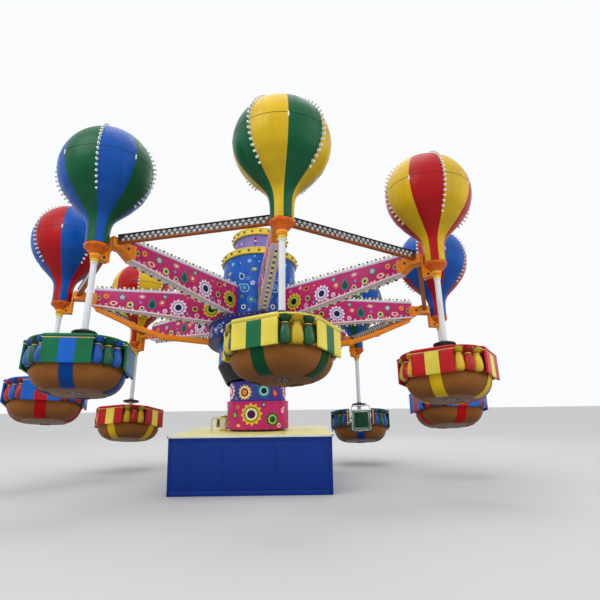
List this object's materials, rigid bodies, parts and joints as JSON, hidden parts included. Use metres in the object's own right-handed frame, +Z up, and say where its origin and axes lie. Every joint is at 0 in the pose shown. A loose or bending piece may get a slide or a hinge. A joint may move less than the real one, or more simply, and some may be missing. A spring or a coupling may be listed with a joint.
{
  "type": "samba balloon ride",
  "caption": "Fairground ride: a leaning wheel of lamp-lit arms on a drum column, each tip carrying a two-colour balloon above a spinning tub gondola with a gate.",
  "frame": {"origin": "middle of the flat underside of the base housing, at ground level", "axes": "+Z up, -Y towards the front that the picture shows, +X to its right"},
  "size_m": [10.6532, 11.1701, 7.0573],
  "materials": {
    "base_blue": "gloss paint",
    "deck_yellow": "satin paint",
    "pink": "gloss paint",
    "violet": "gloss paint",
    "dark_steel": "satin paint",
    "crown_blue": "gloss paint",
    "purple": "gloss paint",
    "magenta": "gloss paint",
    "bronze": "satin paint",
    "white_metal": "gloss paint",
    "red": "moulded gloss",
    "blue": "moulded gloss",
    "green": "moulded gloss",
    "yellow": "moulded gloss",
    "caramel": "moulded gloss",
    "bright_tube": "polished"
  },
  "bodies": {
    "tower": {"base_housing": "base_blue", "base_deck": "deck_yellow", "deck_rail": "deck_yellow", "foot_drum": "pink", "column_drum": "violet", "pivot_stand": "dark_steel"},
    "head": {"tilt_head": "dark_steel"},
    "wheel": {"crown_base": "crown_blue", "crown_drum": "crown_blue", "crown_neck": "crown_blue", "crown_cap": "purple", "arm_1": "magenta", "ring_beam_1": "bronze", "hanger_1": "white_metal", "balloon_1": "yellow", "arm_2": "magenta", "ring_beam_2": "bronze", "hanger_2": "white_metal", "balloon_2": "yellow", "arm_3": "magenta", "ring_beam_3": "bronze", "hanger_3": "white_metal", "balloon_3": "red", "arm_4": "magenta", "ring_beam_4": "bronze", "hanger_4": "white_metal", "balloon_4": "green", "arm_5": "magenta", "ring_beam_5": "bronze", "hanger_5": "white_metal", "balloon_5": "green", "arm_6": "magenta", "ring_beam_6": "bronze", "hanger_6": "white_metal", "balloon_6": "red", "arm_7": "magenta", "ring_beam_7": "bronze", "hanger_7": "white_metal", "balloon_7": "blue", "arm_8": "magenta", "ring_beam_8": "bronze", "hanger_8": "white_metal", "balloon_8": "green"},
    "gondola_1": {"gondola_1": "caramel"},
    "gate_1": {"gate_1": "bright_tube"},
    "gondola_2": {"gondola_2": "caramel"},
    "gate_2": {"gate_2": "bright_tube"},
    "gondola_3": {"gondola_3": "caramel"},
    "gate_3": {"gate_3": "bright_tube"},
    "gondola_4": {"gondola_4": "caramel"},
    "gate_4": {"gate_4": "bright_tube"},
    "gondola_5": {"gondola_5": "caramel"},
    "gate_5": {"gate_5": "bright_tube"},
    "gondola_6": {"gondola_6": "caramel"},
    "gate_6": {"gate_6": "bright_tube"},
    "gondola_7": {"gondola_7": "caramel"},
    "gate_7": {"gate_7": "bright_tube"},
    "gondola_8": {"gondola_8": "caramel"},
    "gate_8": {"gate_8": "bright_tube"}
  },
  "joints": [
    {"name": "tower_tilt", "type": "hinge", "parent": "tower", "child": "head", "pos_m": [0, 0, 2.3], "axis": [-1, 0, 0], "range_deg": [-10, 0]},
    {"name": "wheel_spin", "type": "hinge", "parent": "head", "child": "wheel", "pos_m": [0, 0.11982, 2.97952], "axis": [0, 0.1736, 0.9848], "continuous": true},
    {"name": "gondola_spin_1", "type": "hinge", "parent": "wheel", "child": "gondola_1", "pos_m": [0.70395, -4.49272, 2.41591], "axis": [0, 0.1736, 0.9848], "continuous": true},
    {"name": "gondola_spin_2", "type": "hinge", "parent": "wheel", "child": "gondola_2", "pos_m": [3.64058, -2.7205, 2.10342], "axis": [0, 0.1736, 0.9848], "continuous": true},
    {"name": "gondola_spin_3", "type": "hinge", "parent": "wheel", "child": "gondola_3", "pos_m": [4.4446, 0.57761, 1.52188], "axis": [0, 0.1736, 0.9848], "continuous": true},
    {"name": "gondola_spin_4", "type": "hinge", "parent": "wheel", "child": "gondola_4", "pos_m": [2.64503, 3.46962, 1.01194], "axis": [0, 0.1736, 0.9848], "continuous": true},
    {"name": "gondola_spin_5", "type": "hinge", "parent": "wheel", "child": "gondola_5", "pos_m": [-0.70395, 4.26142, 0.87232], "axis": [0, 0.1736, 0.9848], "continuous": true},
    {"name": "gondola_spin_6", "type": "hinge", "parent": "wheel", "child": "gondola_6", "pos_m": [-3.64058, 2.4892, 1.18481], "axis": [0, 0.1736, 0.9848], "continuous": true},
    {"name": "gondola_spin_7", "type": "hinge", "parent": "wheel", "child": "gondola_7", "pos_m": [-4.4446, -0.80891, 1.76636], "axis": [0, 0.1736, 0.9848], "continuous": true},
    {"name": "gondola_spin_8", "type": "hinge", "parent": "wheel", "child": "gondola_8", "pos_m": [-2.64503, -3.70092, 2.2763], "axis": [0, 0.1736, 0.9848], "continuous": true},
    {"name": "gate_swing_1", "type": "hinge", "parent": "gondola_1", "child": "gate_1", "pos_m": [1.33503, -3.87598, 2.44933], "axis": [0, -0.1736, -0.9848], "range_deg": [0, 100]},
    {"name": "gate_swing_2", "type": "hinge", "parent": "gondola_2", "child": "gate_2", "pos_m": [4.31691, -2.15435, 2.14575], "axis": [0, -0.1736, -0.9848], "range_deg": [0, 100]},
    {"name": "gate_swing_3", "type": "hinge", "parent": "gondola_3", "child": "gate_3", "pos_m": [4.57905, 1.45027, 1.51016], "axis": [0, -0.1736, -0.9848], "range_deg": [0, 100]},
    {"name": "gate_swing_4", "type": "hinge", "parent": "gondola_4", "child": "gate_4", "pos_m": [2.29917, 2.70576, 1.28879], "axis": [0, -0.1736, -0.9848], "range_deg": [0, 100]},
    {"name": "gate_swing_5", "type": "hinge", "parent": "gondola_5", "child": "gate_5", "pos_m": [-0.42196, 5.0982, 0.86694], "axis": [0, -0.1736, -0.9848], "range_deg": [0, 100]},
    {"name": "gate_swing_6", "type": "hinge", "parent": "gondola_6", "child": "gate_6", "pos_m": [-3.08751, 3.17727, 1.20565], "axis": [0, -0.1736, -0.9848], "range_deg": [0, 100]},
    {"name": "gate_swing_7", "type": "hinge", "parent": "gondola_7", "child": "gate_7", "pos_m": [-4.41613, 0.07356, 1.75292], "axis": [0, -0.1736, -0.9848], "range_deg": [0, 100]},
    {"name": "gate_swing_8", "type": "hinge", "parent": "gondola_8", "child": "gate_8", "pos_m": [-2.45081, -2.83956, 2.26658], "axis": [0, -0.1736, -0.9848], "range_deg": [0, 100]}
  ]
}
